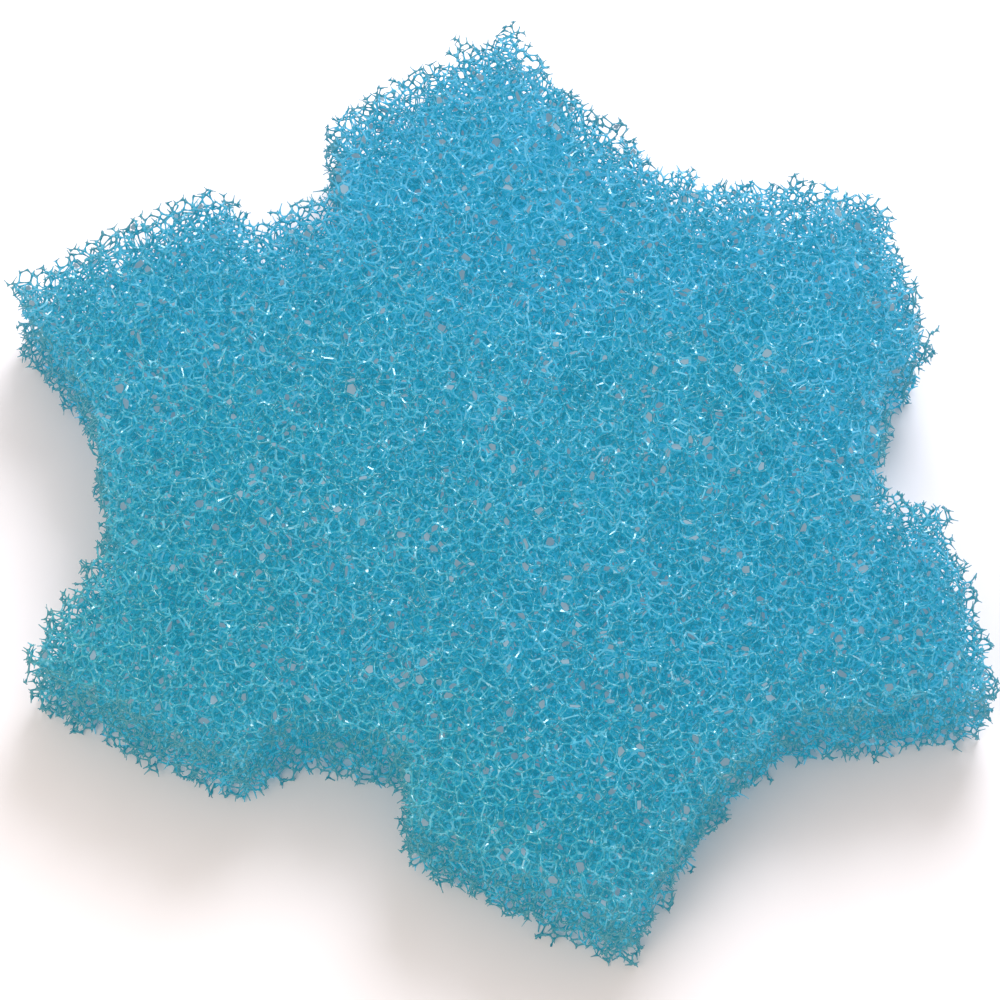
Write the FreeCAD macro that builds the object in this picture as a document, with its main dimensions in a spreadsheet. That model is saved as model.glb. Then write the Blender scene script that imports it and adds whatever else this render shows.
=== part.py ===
import FreeCAD, Part

# Filter sponge: one slab of open-cell foam, cut through as an uneven six-pointed star.
#
# Units are millimetres. The slab lies flat on the XY plane, +Z is up through its thickness,
# and the box round it is centred on the origin. Tip 3 points towards +Y.
#
# The outline is read anticlockwise. Each corner has a direction and a distance from the
# middle of the star. Every tip is a roughly square corner between two sides of the cut.
# Three of the notches are plain, with a floor of two corners. The other three are stepped:
# each side first ends in a shoulder of its own, and the floor lies a cut deeper.

import math
import os

import Sketcher

# Plain lengths, in the sheet as they stand.
LENGTHS = {
    "thickness": 16.0,
    "tip_radius": 2.0,
    "shoulder_radius": 1.5,
    "floor_radius": 3.0,
}

# Corner name, kind of corner, direction in degrees, distance from the middle in millimetres.
CORNERS = (
    ("tip1", "tip", 333.5, 63.8),
    ("shoulder1a", "shoulder", 355.5, 51.7),
    ("floor1a", "floor", 356.0, 44.7),
    ("floor1b", "floor", 16.0, 48.2),
    ("shoulder1b", "shoulder", 19.0, 54.7),
    ("tip2", "tip", 40.5, 61.0),
    ("floor2a", "floor", 59.0, 47.5),
    ("floor2b", "floor", 76.0, 50.5),
    ("tip3", "tip", 89.0, 63.5),
    ("shoulder3a", "shoulder", 113.5, 54.0),
    ("floor3a", "floor", 119.0, 44.0),
    ("floor3b", "floor", 131.0, 47.0),
    ("shoulder3b", "shoulder", 132.0, 53.5),
    ("tip4", "tip", 157.0, 66.0),
    ("floor4a", "floor", 169.0, 50.5),
    ("floor4b", "floor", 191.0, 47.5),
    ("tip5", "tip", 203.0, 61.0),
    ("shoulder5a", "shoulder", 231.5, 47.5),
    ("floor5a", "floor", 232.0, 40.2),
    ("floor5b", "floor", 251.5, 36.7),
    ("shoulder5b", "shoulder", 255.5, 45.7),
    ("tip6", "tip", 284.0, 58.3),
    ("floor6a", "floor", 303.0, 46.0),
    ("floor6b", "floor", 316.0, 45.5),
)

# Index of a sketch point on the origin, and the ends of a sketched line.
ORIGIN = (-1, 1)
START = 1
END = 2

# An upright edge belongs to a corner when it stands this near to it.
NEAR = 0.2


def make_sheet(doc):
    """The driving dimensions, each with a name of its own."""
    sheet = doc.addObject("Spreadsheet::Sheet", "Dimensions")
    rows = list(LENGTHS.items())
    for name, kind, direction, distance in CORNERS:
        rows.append((name + "_angle", direction))
        rows.append((name + "_reach", distance))
    for number, (alias, value) in enumerate(rows, start=1):
        sheet.set("A%d" % number, alias)
        sheet.set("B%d" % number, str(value))
        sheet.setAlias("B%d" % number, alias)
    doc.recompute()
    return sheet


def corner_point(direction, distance):
    """Where a corner lies in the plane of the slab."""
    turn = math.radians(direction)
    return FreeCAD.Vector(distance * math.cos(turn), distance * math.sin(turn), 0)


def origin_plane(body, role):
    """One of the body's own base planes."""
    return next(feature for feature in body.Origin.OriginFeatures if feature.Role == role)


def draw_outline(body):
    """The star's outline as one closed run of straight cuts, each corner held by the sheet."""
    sketch = body.newObject("Sketcher::SketchObject", "Outline")
    sketch.AttachmentSupport = [(origin_plane(body, "XY_Plane"), "")]
    sketch.MapMode = "FlatFace"
    points = [corner_point(direction, distance) for name, kind, direction, distance in CORNERS]
    count = len(points)
    for number in range(count):
        sketch.addGeometry(Part.LineSegment(points[number], points[(number + 1) % count]))
    for number in range(count):
        following = (number + 1) % count
        sketch.addConstraint(Sketcher.Constraint("Coincident", number, END, following, START))
    for number, (name, kind, direction, distance) in enumerate(CORNERS):
        for axis, ratio in (("DistanceX", "cos"), ("DistanceY", "sin")):
            start = getattr(points[number], axis[-1].lower())
            row = sketch.addConstraint(Sketcher.Constraint(axis, *ORIGIN, number, START, start))
            sketch.setExpression(
                "Constraints[%d]" % row,
                "Dimensions.%s_reach * 1 mm * %s(Dimensions.%s_angle * 1 deg)" % (name, ratio, name),
            )
    return sketch


def upright_edges(shape, kind):
    """Names of the upright edges that stand at one kind of corner."""
    spots = [corner_point(direction, distance) for name, sort, direction, distance in CORNERS if sort == kind]
    found = []
    for number, edge in enumerate(shape.Edges, start=1):
        low, high = edge.Vertexes[0].Point, edge.Vertexes[-1].Point
        flat = FreeCAD.Vector(low.x, low.y, 0)
        upright = abs(low.x - high.x) < NEAR and abs(low.y - high.y) < NEAR
        if upright and any(flat.distanceToPoint(spot) < NEAR for spot in spots):
            found.append("Edge%d" % number)
    return found


def round_corners(doc, body, base, kind):
    """Round the upright edges at one kind of corner."""
    fillet = body.newObject("PartDesign::Fillet", "Rounded_" + kind)
    fillet.Base = (base, upright_edges(base.Shape, kind))
    fillet.setExpression("Radius", "Dimensions.%s_radius * 1 mm" % kind)
    doc.recompute()
    return fillet


def make_foam(doc):
    """The foam slab, padded from its outline and rounded where the cuts meet."""
    body = doc.addObject("PartDesign::Body", "filter_foam")
    body.Label = "filter_foam"
    sketch = draw_outline(body)
    doc.recompute()
    pad = body.newObject("PartDesign::Pad", "Slab")
    pad.Profile = sketch
    pad.setExpression("Length", "Dimensions.thickness * 1 mm")
    doc.recompute()
    feature = pad
    for kind in ("tip", "shoulder", "floor"):
        feature = round_corners(doc, body, feature, kind)
    return body


def centre_over_origin(doc, body):
    """Stand the slab so that the box round it is centred on the origin, underside at zero."""
    box = body.Shape.BoundBox
    middle = FreeCAD.Vector(box.Center.x, box.Center.y, box.ZMin)
    body.Placement = FreeCAD.Placement(middle.negative(), FreeCAD.Rotation())
    doc.recompute()


def check_and_write(doc, bodies):
    """Stop on anything broken, then write one file for each sub-part."""
    for item in doc.Objects:
        if "Invalid" in item.State or "Error" in item.State:
            raise RuntimeError("%s didn't recompute: %s" % (item.Name, item.State))
    for body in bodies:
        if body.Shape.isNull() or not body.Shape.isValid():
            raise RuntimeError("%s has no valid shape" % body.Label)
        body.Shape.exportStep(os.path.join("parts", body.Label + ".step"))


os.makedirs("parts", exist_ok=True)
document = FreeCAD.newDocument("filter_sponge")
make_sheet(document)
foam = make_foam(document)
centre_over_origin(document, foam)
check_and_write(document, [foam])
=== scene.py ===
import itertools
import math

import bpy
import numpy as np
from mathutils import Matrix, Vector, kdtree


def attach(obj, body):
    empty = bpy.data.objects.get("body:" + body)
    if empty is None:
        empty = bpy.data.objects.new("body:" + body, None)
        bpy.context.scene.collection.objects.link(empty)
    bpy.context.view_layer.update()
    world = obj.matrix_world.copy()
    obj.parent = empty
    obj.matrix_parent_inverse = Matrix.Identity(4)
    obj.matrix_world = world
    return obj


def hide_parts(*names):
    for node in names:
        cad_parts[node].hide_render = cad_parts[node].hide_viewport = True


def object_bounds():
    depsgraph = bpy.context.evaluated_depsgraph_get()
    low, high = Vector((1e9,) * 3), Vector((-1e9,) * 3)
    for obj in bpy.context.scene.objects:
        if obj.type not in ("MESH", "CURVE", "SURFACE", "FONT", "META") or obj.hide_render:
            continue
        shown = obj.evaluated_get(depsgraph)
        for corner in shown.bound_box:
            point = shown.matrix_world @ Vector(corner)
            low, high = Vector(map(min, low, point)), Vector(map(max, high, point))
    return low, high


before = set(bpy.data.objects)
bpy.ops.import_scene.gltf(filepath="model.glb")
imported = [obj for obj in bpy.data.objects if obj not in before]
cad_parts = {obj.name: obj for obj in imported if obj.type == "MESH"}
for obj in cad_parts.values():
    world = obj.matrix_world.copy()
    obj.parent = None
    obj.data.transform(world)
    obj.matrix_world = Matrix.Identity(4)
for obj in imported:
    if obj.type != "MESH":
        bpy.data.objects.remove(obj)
CAD_LOW, CAD_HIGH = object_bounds()

MM = 0.001
NODE = "filter_foam"
THICK = (CAD_HIGH[2] - CAD_LOW[2]) / MM


# ---------------------------------------------------------------- camera

# The lens looks down on the slab from in front of it: degrees off straight down, and metres.
CAMERA_TILT = 27.0
CAMERA_DISTANCE = 0.400
FRAME_WIDTH = 0.1190
AIM = Vector((0.0012, -0.0036, 0.008))
SENSOR = 36.0           # millimetres, as is the length of the lens
CLIP = (0.01, 10)


def make_camera():
    """A long lens, level from side to side, tilted off straight down."""
    data = bpy.data.cameras.new("camera")
    data.sensor_width = SENSOR
    data.lens = SENSOR * CAMERA_DISTANCE / FRAME_WIDTH
    data.clip_start, data.clip_end = CLIP
    camera = bpy.data.objects.new("camera", data)
    bpy.context.scene.collection.objects.link(camera)
    turn = Matrix.Rotation(math.radians(CAMERA_TILT), 4, "X")
    camera.matrix_world = Matrix.Translation(AIM) @ turn @ Matrix.Translation((0, 0, CAMERA_DISTANCE))
    bpy.context.scene.camera = camera


# ---------------------------------------------------------------- the network of cells

# Lengths from here to the looks are in millimetres.
SEED = 11
CELL = 2.25             # across a cell, if it were a ball
STRETCH = 1.15          # the cells are this much taller than wide
JITTER = 0.20           # share of the lattice step
LATTICE_TURN = (0.31, 0.53, 0.22)
MARGIN = 3.4            # how far past the slab the cells go on, before they are cut

# The search for the corners of the cells: how many of the nearest cells bound a cell,
# how far a cell's corner can be from its middle, and how many cells are worked on at once.
NEIGHBOURS = 26
FARTHEST_CORNER = 2.2 * CELL
BATCH = 500
FLAT = 1e-6             # a determinant this small comes from three cells in one plane
SLACK = 1e-7            # square millimetres by which a corner may miss being clear
NEAR_ZERO = 1e-9

# How often, and how far, each corner is drawn towards its neighbours.
SETTLE_ROUNDS = 2
SETTLE_SHARE = 0.35

# The cut: how far inside the outline it runs, and how far it is torn in or out.
SIDE_TRIM = 0.3
SIDE_RAGGED = 0.9
FACE_RAGGED = 0.5

# What is left of a cut strut: how far it sticks out of the slab, the least and most of its
# length that stays, and how much it bends, as a share of its length. A few are whiskers.
STUB_SPARE = (-0.1, 0.5)
STUB_SHARE = (0.12, 0.85)
STUB_BEND = 0.25
WHISKER_SHARE = 0.09
WHISKER_SPARE = (0.7, 1.8)

# The rings of a stub, each with its share of the stub's length, bend and width.
STUB_RINGS = ((0.5, 0.25, 0.85), (1.0, 1.0, 0.62))

# How far the struts' webs reach into a window at its corners. Some windows are webbed more.
WEB = 0.20
WEB_SPREAD = (0.85, 1.2)
WEB_LIMIT = 0.45        # share of the way to the middle of the window
WEBBED_SHARE = 0.06
WEBBED_SPREAD = (1.4, 2.4)

# From the middle line of a strut to its corners, at its waist.
THIN = 0.088
THIN_SPREAD = (0.8, 1.25)

# Some windows keep a film across them, and their corners are webbed more.
FILM_SHARE = 0.10
FILM_SIZE = 0.78        # the widest that a window with a film can be, from its middle
FILM_WEB = 1.5

FLOOR_GAP = 0.02        # nothing reaches nearer to the floor than this

# The mesh is cut into wedges round the star, each with an upper and a lower half.
WEDGES = 11

# The rounding that makes the ends of neighbouring edges of the outline equal, and how near
# to zero the height of a point on the underside is.
DECIMALS = 4
ON_UNDERSIDE = 0.01


def seeds(rng, low, high):
    """Cell centres: a body-centred lattice, turned so that no rows face the eye, then jittered."""
    # Each cube of the lattice holds two cells, and a cell has the volume of its ball.
    step = CELL * (math.pi / 3) ** (1 / 3)
    turn = np.array(Matrix.Rotation(LATTICE_TURN[2], 3, "Z") @ Matrix.Rotation(LATTICE_TURN[1], 3, "Y")
                    @ Matrix.Rotation(LATTICE_TURN[0], 3, "X"))
    reach = int(np.linalg.norm(high - low) / step / 2) + 2
    line = np.arange(-reach, reach + 1)
    grid = np.stack(np.meshgrid(line, line, line, indexing="ij"), -1).reshape(-1, 3).astype(float)
    grid = np.concatenate([grid, grid + 0.5]) * step
    middle = (low + high) / 2
    points = grid @ turn.T
    points[:, 2] *= STRETCH
    points += middle
    points = points[((points > low) & (points < high)).all(1)]
    points += rng.normal(0, JITTER * step, points.shape)
    return points


def near_ones(points):
    """The nearest other cells of each cell, nearest first."""
    tree = kdtree.KDTree(len(points))
    for number, point in enumerate(points):
        tree.insert(point, number)
    tree.balance()
    return np.array([[found[1] for found in tree.find_n(point, NEIGHBOURS + 1)[1:]] for point in points])


def corners_of_cells(points, near):
    """Every point that is equally far from four cells and nearer to no other: the Voronoi corners."""
    table = np.array(list(itertools.combinations(range(NEIGHBOURS), 3)))
    places, fours = [], []
    for start in range(0, len(points), BATCH):
        own = np.arange(start, min(start + BATCH, len(points)))
        others = near[own]
        gaps = points[others] - points[own][:, None]
        halves = (gaps ** 2).sum(2) / 2
        # Four cells are tried together once only, from the one with the lowest number.
        later = others > own[:, None]
        row, pick = np.nonzero(later[:, table].all(2))
        trio = table[pick]
        a, b, c = (gaps[row, trio[:, k]] for k in range(3))
        ha, hb, hc = (halves[row, trio[:, k]] for k in range(3))
        # Equally far from the cell and from its trio: three planes, which meet in one point.
        bc = np.cross(b, c)
        det = (a * bc).sum(1)
        solid = np.abs(det) > FLAT
        row, trio, a, b, c, ha, hb, hc, bc, det = (
            x[solid] for x in (row, trio, a, b, c, ha, hb, hc, bc, det))
        spot = ha[:, None] * bc + hb[:, None] * np.cross(c, a) + hc[:, None] * np.cross(a, b)
        spot /= det[:, None]
        small = (spot ** 2).sum(1) < FARTHEST_CORNER ** 2
        row, trio, spot = row[small], trio[small], spot[small]
        # The point counts only if no other cell is nearer to it.
        clear = np.ones(len(row), bool)
        for k in range(NEIGHBOURS):
            live = np.flatnonzero(clear)
            over = (spot[live] * gaps[row[live], k]).sum(1) > halves[row[live], k] + SLACK
            over &= (trio[live] != k).all(1)
            clear[live[over]] = False
        row, trio, spot = row[clear], trio[clear], spot[clear]
        places.append(spot + points[own[row]])
        fours.append(np.sort(np.column_stack([own[row], others[row[:, None], trio]]), 1))
    return np.concatenate(places), np.concatenate(fours)


def links(fours):
    """The edges of the network: pairs of corners that share three cells, and those three cells."""
    count = fours.max() + 1
    trios = np.concatenate([np.delete(fours, k, 1) for k in range(4)])
    owner = np.tile(np.arange(len(fours)), 4)
    key = (trios[:, 0] * count + trios[:, 1]) * count + trios[:, 2]
    order = np.argsort(key, kind="stable")
    same = np.flatnonzero(key[order][1:] == key[order][:-1])
    ends = np.column_stack([owner[order[same]], owner[order[same + 1]]])
    return ends, trios[order[same]]


# The pairs of a corner's four cells. Each pair has a window between it, which meets the corner.
PAIRS = ((0, 1), (0, 2), (0, 3), (1, 2), (1, 3), (2, 3))


def windows(fours, corners):
    """The windows between neighbouring cells: each corner's six, and the middle of each window."""
    count = fours.max() + 1
    key = np.column_stack([fours[:, a] * count + fours[:, b] for a, b in PAIRS])
    keys, flat = np.unique(key, return_inverse=True)
    six = flat.reshape(key.shape)
    times = np.bincount(flat)
    spread = np.repeat(corners, len(PAIRS), 0)
    middle = np.column_stack([np.bincount(flat, spread[:, k]) for k in range(3)])
    return keys, six, middle / times[:, None], count


def settle(corners, ends, rounds):
    """Draw each corner towards its neighbours, which evens out the lengths of the struts."""
    for _ in range(rounds):
        total = np.zeros_like(corners)
        for a, b in ((0, 1), (1, 0)):
            for k in range(3):
                total[:, k] += np.bincount(ends[:, a], corners[ends[:, b], k], len(corners))
        times = np.bincount(ends.ravel(), minlength=len(corners))
        # Corners at the very edge of the cells, without all four struts, stay where they are.
        full = times == 4
        corners[full] += SETTLE_SHARE * (total[full] / times[full, None] - corners[full])
    return corners


# ---------------------------------------------------------------- the cut

def outline():
    """The cut outline of the slab, as the edges of the CAD solid's underside, in millimetres."""
    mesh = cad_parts[NODE].data
    places = np.array([v.co for v in mesh.vertices]) / MM
    seen = {}
    for polygon in mesh.polygons:
        ring = [tuple(np.round(places[v], DECIMALS)) for v in polygon.vertices]
        if all(abs(p[2]) < ON_UNDERSIDE for p in ring):
            for p, q in zip(ring, ring[1:] + ring[:1]):
                edge = frozenset((p[:2], q[:2]))
                seen[edge] = seen.get(edge, 0) + 1
    edges = [sorted(edge) for edge, times in seen.items() if times == 1 and len(edge) == 2]
    return np.array(sorted(edges), float)


def off_outline(points, edges):
    """How far each point is outside the outline. It is negative inside."""
    far = np.full(len(points), np.inf)
    inside = np.zeros(len(points), bool)
    x, y = points[:, 0], points[:, 1]
    for (x0, y0), (x1, y1) in edges:
        along = np.array([x1 - x0, y1 - y0])
        long2 = max(float(along @ along), NEAR_ZERO)
        share = np.clip(((x - x0) * along[0] + (y - y0) * along[1]) / long2, 0, 1)
        far = np.minimum(far, np.hypot(x - x0 - share * along[0], y - y0 - share * along[1]))
        if y0 != y1:
            inside ^= ((y0 > y) != (y1 > y)) & (x < x0 + (y - y0) * (x1 - x0) / (y1 - y0))
    return np.where(inside, -far, far)


def off_slab(points, edges, ragged):
    """How far each point is outside the slab, whose cut faces are torn a little unevenly."""
    side = off_outline(points, edges) + SIDE_TRIM - SIDE_RAGGED * ragged
    face = np.maximum(-points[:, 2], points[:, 2] - THICK) - FACE_RAGGED * ragged
    return np.maximum(side, face)


def biggest_part(ends, kept):
    """The corners of the largest connected part of the network, so that nothing floats."""
    # The lowest number in each part spreads along its struts until nothing changes.
    label = np.arange(len(kept))
    a, b = ends[kept[ends].all(1)].T
    while True:
        before = label.copy()
        low = np.minimum(label[a], label[b])
        np.minimum.at(label, a, low)
        np.minimum.at(label, b, low)
        label = label[label]
        if (label == before).all():
            break
    sizes = np.bincount(label[kept], minlength=len(kept))
    return kept & (label == sizes.argmax())


# ---------------------------------------------------------------- struts

class Strands:
    """The mesh as it grows: its points, and each triangle with its place and its shade."""

    def __init__(self):
        self.points, self.total = [], 0
        self.triangles, self.where, self.shade = [], [], []

    def add_points(self, points):
        """Keep some points, and give their numbers in the same arrangement."""
        rows = self.total + np.arange(points.size // 3).reshape(points.shape[:-1])
        self.points.append(points.reshape(-1, 3))
        self.total += rows.size
        return rows

    def add_triangles(self, rows, spots, shades):
        """Keep some triangles, in one or more runs of the same struts in the same order."""
        runs = len(rows) // len(spots)
        self.triangles.append(rows)
        self.where.append(np.tile(spots, (runs, 1)))
        self.shade.append(np.tile(shades, runs))

    def mesh(self):
        """Points, triangles, and each triangle's place and shade."""
        return [np.concatenate(part) for part in (self.points, self.triangles, self.where, self.shade)]


def unit(vectors):
    """The vectors, each made one long."""
    return vectors / np.maximum(np.linalg.norm(vectors, axis=-1, keepdims=True), NEAR_ZERO)


def three_sides(first, second):
    """Triangles of a three-sided tube between two rings of three points, facing outwards."""
    made = []
    for k in range(3):
        m = (k + 1) % 3
        made.append(np.column_stack([first[:, k], first[:, m], second[:, m]]))
        made.append(np.column_stack([first[:, k], second[:, m], second[:, k]]))
    return np.concatenate(made)


def pick_shades(rng, moods, spots, edges):
    """A shade for each strut or corner: partly its own, partly that of the cells round it, with painted
    shade in front and round the sides.
    """
    # Painted shade in front and painted light behind: the shades get lighter along one direction of the
    # slab.
    value = CLUMPING * moods + rng.normal(size=len(moods)) + PAINTED_FADE * spots @ PAINTED_FALLOFF_WAY
    shades = np.searchsorted(np.quantile(value, np.cumsum(SHADE_SHARES)[:-1]), value)
    # Painted shade: struts and corners near the sides take the dimmer rim look.
    shades[off_outline(spots, edges) > -SHADED_RIM_WIDTH] = SHADED_RIM
    return shades


def draw_webs(rng, corners, six, middle):
    """Each corner's six points, drawn into its six windows, and the windows that keep a film."""
    web = WEB * rng.uniform(*WEB_SPREAD, len(middle))
    webbed = rng.random(len(middle)) < WEBBED_SHARE
    web[webbed] *= rng.uniform(*WEBBED_SPREAD, webbed.sum())
    filmed = rng.random(len(middle)) < FILM_SHARE
    web[filmed] *= FILM_WEB
    inward = middle[six] - corners[:, None]
    room = np.linalg.norm(inward, axis=2)
    reach = np.minimum(web[six], WEB_LIMIT * room)
    return corners[:, None] + inward * (reach / np.maximum(room, NEAR_ZERO))[..., None], filmed


def kept_first(ends, trios, kept):
    """The struts with an end in the slab, that end first, and which of them are whole."""
    swap = ~kept[ends[:, 0]] & kept[ends[:, 1]]
    ends[swap] = ends[swap][:, ::-1]
    inside = kept[ends]
    used = inside[:, 0]
    return ends[used], trios[used], inside[used].all(1)


def add_whole_struts(strands, first, last, middles, lean, tint):
    """Struts between two corners: wide at both ends and waisted in the middle."""
    waist = middles[:, None] + lean
    rows = strands.add_points(waist)
    strands.add_triangles(three_sides(first, rows), waist.mean(1), tint)
    strands.add_triangles(three_sides(rows, last), waist.mean(1), tint)


def add_cut_struts(strands, rng, first, roots, gaps, depths, lean, tint):
    """Cut struts: a stub that tapers, bends a little and ends in a small flat."""
    spare = rng.uniform(*STUB_SPARE, len(roots))
    whisker = rng.random(len(roots)) < WHISKER_SHARE
    spare[whisker] = rng.uniform(*WHISKER_SPARE, whisker.sum())
    share = (spare - depths[:, 0]) / np.maximum(depths[:, 1] - depths[:, 0], NEAR_ZERO)
    length = np.clip(share, *STUB_SHARE) * np.linalg.norm(gaps, axis=1)
    along = unit(gaps)
    sideways = unit(np.cross(along, rng.normal(size=roots.shape)))
    bend = sideways * (length * rng.uniform(0, STUB_BEND, len(roots)))[:, None]
    ring = first
    for step, swing, width in STUB_RINGS:
        spot = roots + along * (length * step)[:, None] + bend * swing
        rows = strands.add_points(spot[:, None] + lean * width)
        strands.add_triangles(three_sides(ring, rows), spot, tint)
        ring = rows
    strands.add_triangles(ring, spot, tint)


def add_corner_faces(strands, own, six_points, corners, fours, centres, tint):
    """Where four struts meet, one small face looks into each of the four cells."""
    for k in range(4):
        three = [n for n, pair in enumerate(PAIRS) if k in pair]
        face = own[:, None] * len(PAIRS) + three
        p = six_points[own][:, three]
        outward = centres[fours[own, k]] - corners[own]
        wrong = (np.cross(p[:, 1] - p[:, 0], p[:, 2] - p[:, 0]) * outward).sum(1) < 0
        face[wrong] = face[wrong][:, ::-1]
        strands.add_triangles(face, corners[own], tint)


def add_films(strands, filmed, six, six_points, kept, middle):
    """A thin film across each filmed window, as a fan of triangles round the window's middle."""
    flat = six.ravel()
    rows = np.flatnonzero(filmed[flat])
    rows = rows[np.argsort(flat[rows], kind="stable")]
    starts = np.flatnonzero(np.diff(flat[rows], prepend=-1))
    for run in np.split(rows, starts[1:]):
        if len(run) < 3 or not kept[run // len(PAIRS)].all():
            continue
        centre = middle[flat[run[0]]]
        arms = six_points.reshape(-1, 3)[run] - centre
        if np.linalg.norm(arms, axis=1).max() > FILM_SIZE:
            continue
        across = unit(arms[0])
        normal = unit(np.cross(arms[0], arms[1]))
        turn = np.arctan2(arms @ np.cross(normal, across), arms @ across)
        arms = arms[np.argsort(turn)]
        hub, *tips = strands.add_points(np.vstack([centre, centre + arms]))
        fan = np.column_stack([np.full(len(arms), hub), tips, np.roll(tips, -1)])
        strands.add_triangles(fan, np.tile(centre, (len(arms), 1)), np.full(len(arms), FILM))


def grow_foam():
    """The foam as one network of struts: points, triangles, and each triangle's place and shade."""
    rng = np.random.default_rng(SEED)
    edges = outline()
    low = np.array([edges[..., 0].min(), edges[..., 1].min(), 0]) - MARGIN
    high = np.array([edges[..., 0].max(), edges[..., 1].max(), THICK]) + MARGIN
    centres = seeds(rng, low, high)
    centres = centres[off_outline(centres, edges) < MARGIN]
    corners, fours = corners_of_cells(centres, near_ones(centres))
    ends, trios = links(fours)
    corners = settle(corners, ends, SETTLE_ROUNDS)
    keys, six, middle, count = windows(fours, corners)

    # A corner is torn as its four cells are. The mean of four has half the spread of one.
    ragged = rng.uniform(-1, 1, len(centres))[fours].mean(1) * 2
    depth = off_slab(corners, edges, ragged)
    kept = biggest_part(ends, depth < 0)

    strands = Strands()
    six_points, filmed = draw_webs(rng, corners, six, middle)
    strands.add_points(six_points)
    place_key = (np.arange(len(corners))[:, None] * len(keys) + six).ravel()
    order = np.argsort(place_key)

    def ring(corner, window):
        """The points of a corner that lie in its three windows round one strut."""
        wanted = corner[:, None] * len(keys) + window
        return order[np.searchsorted(place_key[order], wanted)]

    # Each strut has three windows round it, and a ring of three points at each end.
    ends, trios, whole = kept_first(ends, trios, kept)
    a, b = corners[ends[:, 0]], corners[ends[:, 1]]
    pair_keys = [trios[:, i] * count + trios[:, j] for i, j in ((0, 1), (1, 2), (0, 2))]
    window = np.column_stack([np.searchsorted(keys, key) for key in pair_keys])
    start = ring(ends[:, 0], window)
    stop = np.zeros_like(start)
    stop[whole] = ring(ends[whole, 1], window[whole])

    # The directions in which a strut's three corners lean out from its middle line.
    along = unit(b - a)
    lean = six_points.reshape(-1, 3)[start] - a[:, None]
    lean[whole] += six_points.reshape(-1, 3)[stop[whole]] - b[whole][:, None]
    lean -= (lean * along[:, None]).sum(2, keepdims=True) * along[:, None]
    lean = unit(lean)
    flip = (np.cross(lean[:, 0], lean[:, 1]) * along).sum(1) < 0
    for rows in (start, stop, lean):
        rows[flip] = rows[flip][:, ::-1]
    lean *= (THIN * rng.uniform(*THIN_SPREAD, len(ends)))[:, None, None]

    mood = rng.normal(size=len(centres))
    tint = pick_shades(rng, mood[trios].mean(1), a, edges)
    full = np.flatnonzero(whole)
    add_whole_struts(strands, start[full], stop[full], ((a + b) / 2)[full], lean[full], tint[full])
    cut = np.flatnonzero(~whole)
    add_cut_struts(strands, rng, start[cut], a[cut], (b - a)[cut], depth[ends[cut]], lean[cut], tint[cut])

    own = np.flatnonzero(kept)
    tint = pick_shades(rng, mood[fours[own]].mean(1), corners[own], edges)
    add_corner_faces(strands, own, six_points, corners, fours, centres, tint)
    add_films(strands, filmed, six, six_points, kept, middle)

    points, triangles, where, shade = strands.mesh()
    points[:, 2] = np.maximum(points[:, 2], FLOOR_GAP)
    return points, triangles, where, shade


def split_up(where):
    """Number the wedge that each triangle belongs to: round the star, and upper or lower half."""
    turn = np.arctan2(where[:, 1], where[:, 0])
    bounds = np.quantile(turn, np.arange(1, WEDGES) / WEDGES)
    wedge = np.searchsorted(bounds, turn)
    return wedge * 2 + (where[:, 2] > THICK / 2)


def make_piece(name, points, triangles, shades, looks):
    """One mesh of the foam, with a look for each triangle and a flat layout for baking."""
    used, flat = np.unique(triangles, return_inverse=True)
    points = points[used] * MM
    mesh = bpy.data.meshes.new(name)
    mesh.vertices.add(len(points))
    mesh.vertices.foreach_set("co", points.astype(np.float32).ravel())
    mesh.loops.add(len(flat))
    mesh.loops.foreach_set("vertex_index", flat.astype(np.int32))
    mesh.polygons.add(len(triangles))
    mesh.polygons.foreach_set("loop_start", np.arange(0, len(flat), 3, dtype=np.int32))
    for look in looks:
        mesh.materials.append(look)
    mesh.polygons.foreach_set("material_index", shades.astype(np.int32))
    mesh.update(calc_edges=True)
    mesh.polygons.foreach_set("use_smooth", shades != GLOSSY)
    uv = mesh.uv_layers.new(name="OFBake")
    span = np.ptp(points[:, :2], axis=0).max() or 1
    flat_uv = (points[:, :2] - points[:, :2].min(0)) / span
    uv.data.foreach_set("uv", flat_uv[flat].astype(np.float32).ravel())
    piece = bpy.data.objects.new(name, mesh)
    bpy.context.scene.collection.objects.link(piece)
    return piece


# ---------------------------------------------------------------- looks

# Every strut has one of the first four looks, and the films have the last. Each look has a
# name, the two ends of its mottled colour, painted darker and tealer in front and lighter behind (painted
# shade and light), a painted glow (emission) that stands in for the light that comes through it from its
# neighbours, its roughness and its gloss.
LOOKS = (
    ("foam_deep", ((0.026, 0.115, 0.080), (0.018, 0.12, 0.185)), (0.009, 0.167, 0.258), 0.22, 0.85),
    ("foam_blue", ((0.040, 0.155, 0.105), (0.028, 0.16, 0.245)), (0.012, 0.230, 0.358), 0.22, 0.85),
    ("foam_light", ((0.066, 0.185, 0.145), (0.052, 0.19, 0.29)), (0.030, 0.268, 0.424), 0.17, 0.85),
    ("foam_rim_painted_shade", ((0.030, 0.120, 0.110), (0.025, 0.13, 0.19)), (0.014, 0.150, 0.212), 0.22, 0.85),
    ("foam_film", ((0.12, 0.16, 0.18), (0.11, 0.16, 0.20)), (0.120, 0.205, 0.270), 0.6, 0.2),
)
GLOSSY = 2              # the shade whose struts are faceted and catch the light
SHADED_RIM = 3                 # painted shade: the dimmer look round the sides, where few neighbours send light through
FILM = 4
# How far in from the sides the painted rim shade reaches, in millimetres.
SHADED_RIM_WIDTH = 0.9
SHADE_SHARES = (0.33, 0.45, 0.22)
CLUMPING = 0.7          # how much more a strut takes after its cells than after itself

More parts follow.
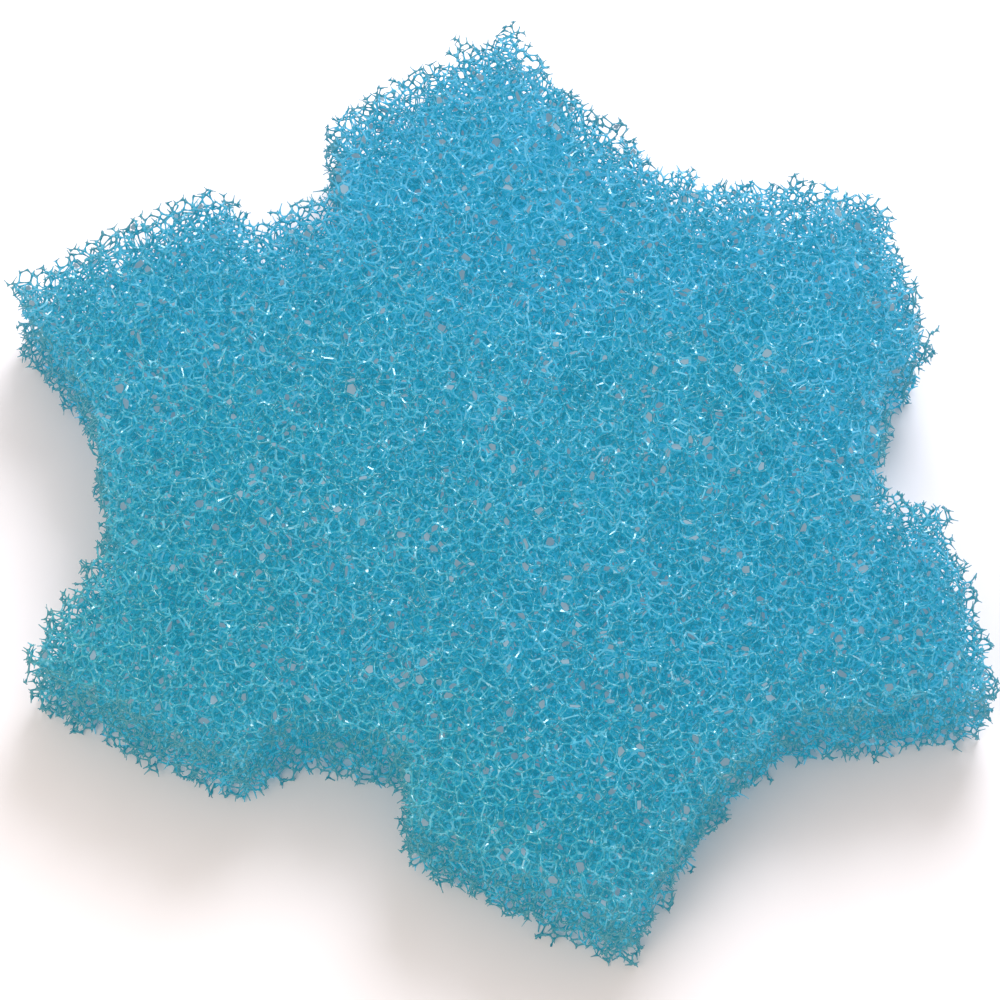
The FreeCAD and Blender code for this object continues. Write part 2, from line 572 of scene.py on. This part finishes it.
# The colour is painted darker and tealer in front and lighter and bluer behind (painted shade and light)
# along one direction in the plane of the slab, and is mottled at random as well.
PAINTED_FALLOFF_WAY = np.array((0.35, 0.94, 0))
PAINTED_FADE = 0.008            # how fast the shades get lighter towards the back (painted light) and darker in front (painted shade), per millimetre along the way above
PAINTED_FALLOFF_RATE = 7.0        # how fast the painted falloff goes from its front colour to its back colour, for each metre
MOTTLE_AND_FALLOFF_STOPS = (0.08, 0.74)
MOTTLE_SCALE = 22
MOTTLE_DETAIL = 3


def foam_material(name, mottle_and_falloff, painted_glow, roughness, gloss):
    """A mottled blue, painted darker and tealer in front and lighter behind, with a painted glow for the
    light that comes through the strut.
    """
    material = bpy.data.materials.new(name)
    material.use_nodes = True
    material.cycles.emission_sampling = "NONE"
    nodes = material.node_tree.nodes
    shader = nodes["Principled BSDF"]
    wire = material.node_tree.links.new
    place = nodes.new("ShaderNodeTexCoord")
    noise = nodes.new("ShaderNodeTexNoise")
    noise.inputs["Scale"].default_value = MOTTLE_SCALE
    noise.inputs["Detail"].default_value = MOTTLE_DETAIL
    wire(place.outputs["Object"], noise.inputs["Vector"])
    # Painted shade and light: the place along the slab pushes the colour darker and tealer in front,
    # lighter and bluer behind.
    across = nodes.new("ShaderNodeVectorMath")
    across.operation = "DOT_PRODUCT"
    across.inputs[1].default_value = PAINTED_FALLOFF_WAY * PAINTED_FALLOFF_RATE
    wire(place.outputs["Object"], across.inputs[0])
    both = nodes.new("ShaderNodeMath")
    wire(noise.outputs["Fac"], both.inputs[0])
    wire(across.outputs["Value"], both.inputs[1])
    ramp = nodes.new("ShaderNodeValToRGB")
    for element, position, colour in zip(ramp.color_ramp.elements, MOTTLE_AND_FALLOFF_STOPS, mottle_and_falloff):
        element.position = position
        element.color = (*colour, 1)
    wire(both.outputs["Value"], ramp.inputs["Fac"])
    wire(ramp.outputs["Color"], shader.inputs["Base Color"])
    shader.inputs["Roughness"].default_value = roughness
    shader.inputs["Specular IOR Level"].default_value = gloss
    # Painted glow: the emission stands in for light scattered through the translucent foam from its
    # neighbours.
    shader.inputs["Emission Color"].default_value = (*painted_glow, 1)
    shader.inputs["Emission Strength"].default_value = 1
    return material


# ---------------------------------------------------------------- floor and light

FLOOR_SIZE = 4
FLOOR_COLOUR = (0.86, 0.80, 0.85)
FLOOR_ROUGHNESS = 0.9

# The surroundings are warm and a little dim in front, and cooler and brighter behind.
FRONT_SKY = (0.70, 0.62, 0.48)
BACK_SKY = (0.92, 0.98, 1.0)
SKY_STRENGTH = 0.95

# Name, place in metres, size in metres, power in watts, colour.
LAMPS = (
    ("key", (0.10, 0.26, 0.30), 0.22, 1.5, (0.92, 0.97, 1)),
    ("fill", (-0.22, -0.28, 0.26), 0.30, 0.6, (1, 0.86, 0.66)),
)


def floor_material():
    """A plain, pale, matt surface."""
    material = bpy.data.materials.new("floor_pale")
    material.use_nodes = True
    shader = material.node_tree.nodes["Principled BSDF"]
    shader.inputs["Base Color"].default_value = (*FLOOR_COLOUR, 1)
    shader.inputs["Roughness"].default_value = FLOOR_ROUGHNESS
    return material


def make_floor():
    """The ground that the slab lies on, which is no part of it."""
    bpy.ops.mesh.primitive_plane_add(size=FLOOR_SIZE, location=(0, 0, 0))
    floor = bpy.context.object
    floor.name = "floor"
    floor.data.materials.append(floor_material())


def make_sky():
    """Soft light from all round, with a slow change of colour from front to back."""
    world = bpy.data.worlds.new("world")
    world.use_nodes = True
    nodes = world.node_tree.nodes
    wire = world.node_tree.links.new
    place = nodes.new("ShaderNodeTexCoord")
    split = nodes.new("ShaderNodeSeparateXYZ")
    spread = nodes.new("ShaderNodeMapRange")
    spread.inputs["From Min"].default_value = -1
    ramp = nodes.new("ShaderNodeValToRGB")
    ramp.color_ramp.elements[0].color = (*FRONT_SKY, 1)
    ramp.color_ramp.elements[1].color = (*BACK_SKY, 1)
    wire(place.outputs["Generated"], split.inputs["Vector"])
    wire(split.outputs["Y"], spread.inputs["Value"])
    wire(spread.outputs["Result"], ramp.inputs["Fac"])
    wire(ramp.outputs["Color"], nodes["Background"].inputs["Color"])
    nodes["Background"].inputs["Strength"].default_value = SKY_STRENGTH
    bpy.context.scene.world = world


def make_lamp(name, place, size, power, colour):
    """A round soft lamp that points at the middle of the slab's underside."""
    data = bpy.data.lights.new(name, "AREA")
    data.shape = "DISK"
    data.size = size
    data.energy = power
    data.color = colour
    lamp = bpy.data.objects.new(name, data)
    lamp.location = place
    lamp.rotation_euler = (-Vector(place)).to_track_quat("-Z", "Y").to_euler()
    bpy.context.scene.collection.objects.link(lamp)


# ---------------------------------------------------------------- the scene

make_camera()
make_floor()
make_sky()
for lamp in LAMPS:
    make_lamp(*lamp)
bpy.context.scene.view_settings.view_transform = "Standard"

points, triangles, where, shade = grow_foam()
wedge = split_up(where)
looks = [foam_material(*look) for look in LOOKS]
for number in range(WEDGES * 2):
    level = "upper" if number % 2 else "lower"
    name = "foam_%s_%02d" % (level, number // 2 + 1)
    own = wedge == number
    piece = make_piece(name, points, triangles[own], shade[own], looks)
    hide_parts(NODE)
    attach(piece, "root")
